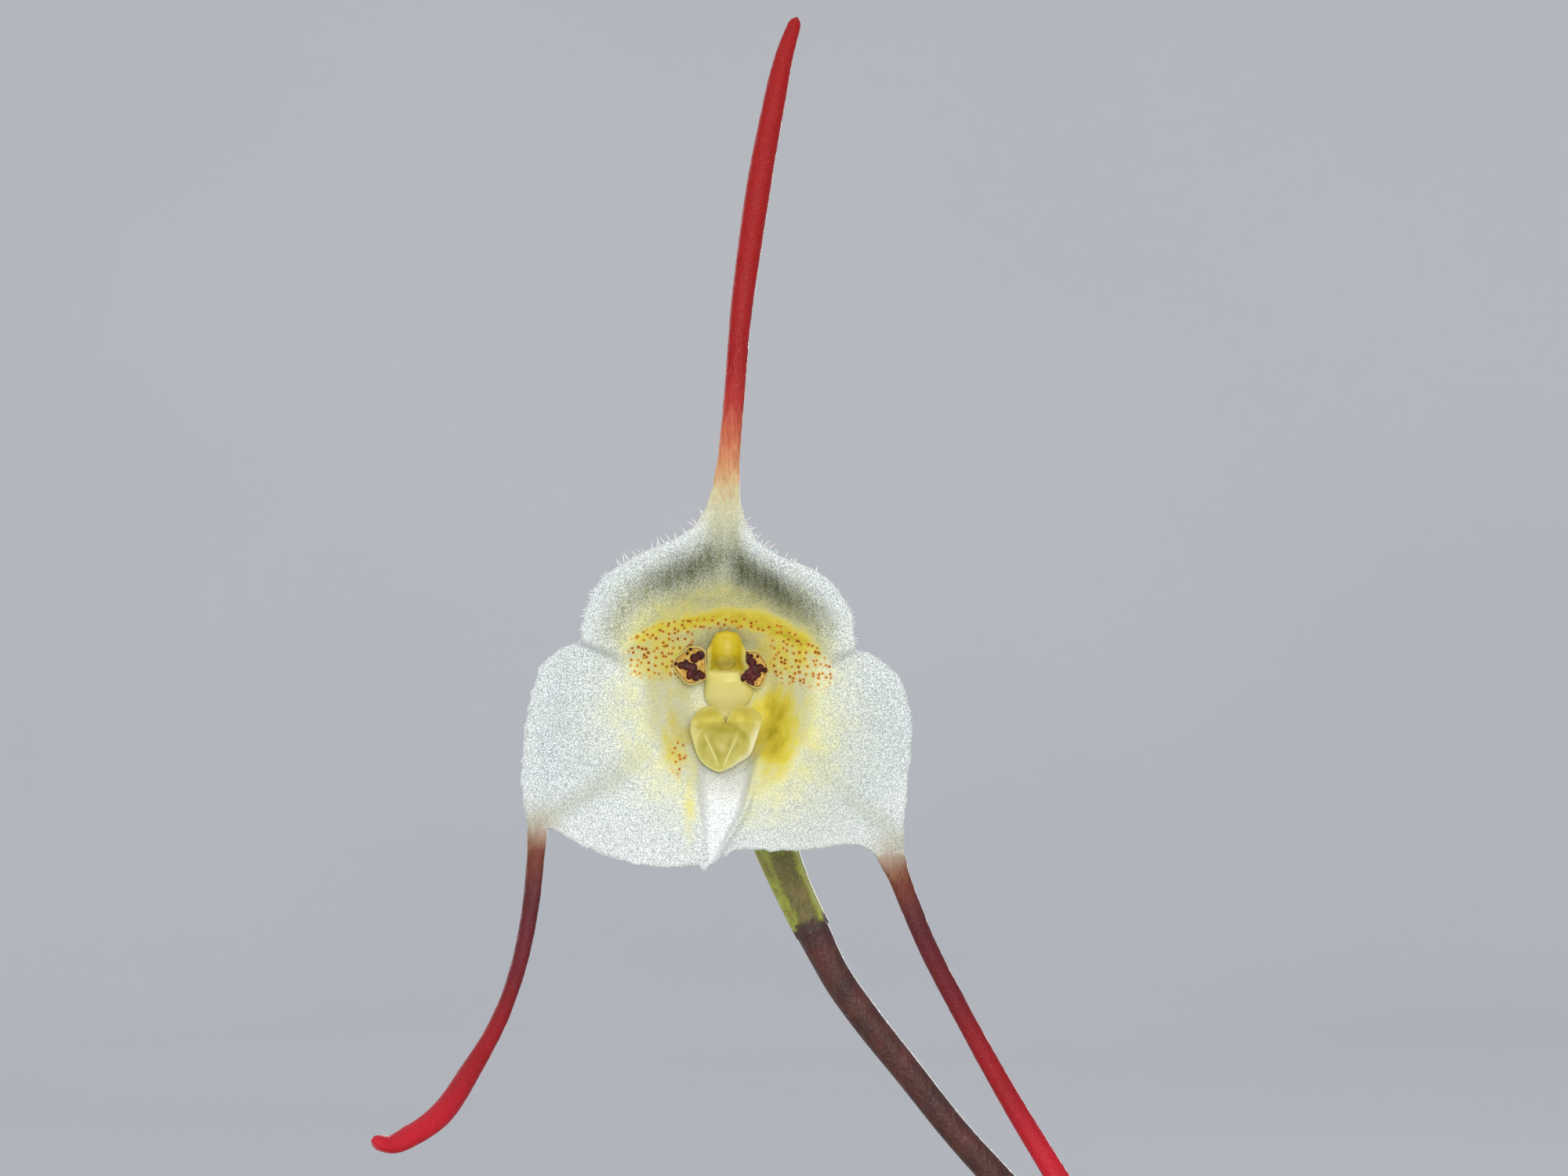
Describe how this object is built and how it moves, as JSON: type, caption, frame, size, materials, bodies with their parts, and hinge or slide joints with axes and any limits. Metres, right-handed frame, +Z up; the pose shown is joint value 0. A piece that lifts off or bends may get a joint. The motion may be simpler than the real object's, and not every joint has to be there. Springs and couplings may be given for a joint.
{
  "type": "potted dracula lotax orchid",
  "caption": "Small orchid in a clay pot: a tuft of keeled leaves and one white cupped bloom with long red tails on an upright stem.",
  "frame": {"origin": "centre of the flat foot of the pot, on the surface that it stands on", "axes": "+Z up along the plant, -Y the way that the bloom faces, +X to the right as seen from in front of the bloom"},
  "size_m": [0.1413, 0.133, 0.2707],
  "materials": {
    "clay": "matt unglazed fired clay",
    "moss": "damp long-strand sphagnum",
    "rhizome": "woody rhizome and fleshy roots",
    "sheath": "dry ribbed papery sheath",
    "leaf": "leathery, satin, paler beneath",
    "stalk": "smooth purple-brown stalk",
    "bract": "dry translucent papery bract",
    "ovary": "waxy green, ribbed",
    "sepal": "white crystalline tissue with yellow in the cup",
    "tail": "red, satin",
    "petal": "amber with dark maroon warts",
    "lip": "cream, waxy",
    "column": "yellow, waxy",
    "anther": "pale cream, smooth"
  },
  "bodies": {
    "root": {"pot": "clay", "moss": "moss", "rhizome": "rhizome", "stem_01": "sheath", "leaf_01": "leaf", "stem_02": "sheath", "leaf_02": "leaf", "stem_03": "sheath", "leaf_03": "leaf", "stem_04": "sheath", "leaf_04": "leaf", "stem_05": "sheath", "leaf_05": "leaf", "stem_06": "sheath", "leaf_06": "leaf", "stem_07": "sheath", "leaf_07": "leaf", "stem_08": "sheath", "leaf_08": "leaf", "stem_09": "sheath", "leaf_09": "leaf", "stem_10": "sheath", "leaf_10": "leaf", "stem_11": "sheath", "leaf_11": "leaf", "stem_12": "sheath", "leaf_12": "leaf", "peduncle": "stalk", "bract_lower": "bract", "bract_upper": "bract", "bract_floral": "bract", "ovary": "ovary", "pedicel": "stalk", "sepal_cup": "sepal", "tail_dorsal": "tail", "tail_left": "tail", "tail_right": "tail", "petal_left": "petal", "petal_right": "petal", "column": "column", "anther_cap": "anther", "lip": "lip"}
  },
  "joints": []
}
